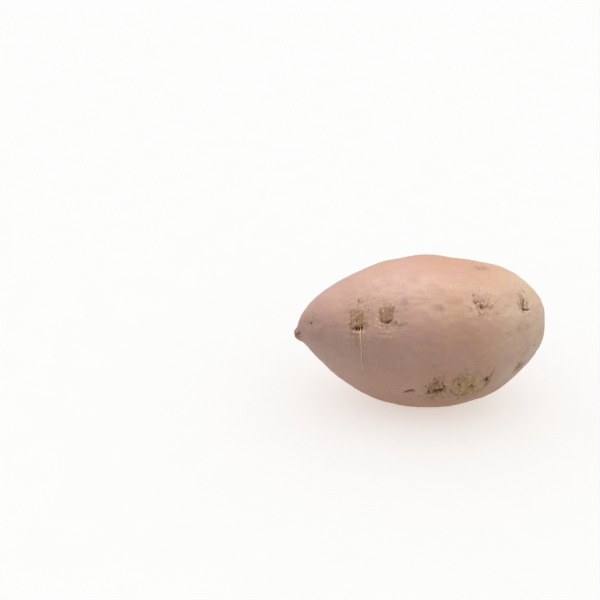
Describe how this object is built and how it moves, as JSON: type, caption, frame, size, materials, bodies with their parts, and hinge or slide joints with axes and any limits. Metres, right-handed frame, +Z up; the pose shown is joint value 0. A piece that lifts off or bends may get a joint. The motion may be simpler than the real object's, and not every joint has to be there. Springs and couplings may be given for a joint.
{
  "type": "sweet potato",
  "caption": "Whole sweet potato: an egg-shaped storage root lying on its side, with root scars in rows, a broken root tail at the narrow end and a stem scar at the blunt end.",
  "frame": {"origin": "middle of the small flat spot on the underside that the root lies on", "axes": "+X along the root towards its blunt stem end, +Z up, -Y towards the front side"},
  "size_m": [0.1285, 0.0814, 0.0773],
  "materials": {
    "skin": "dry satin-matt root skin, pinkish tan with olive-brown cork in the root scars"
  },
  "bodies": {
    "root": {"sweet_potato": "skin"}
  },
  "joints": []
}
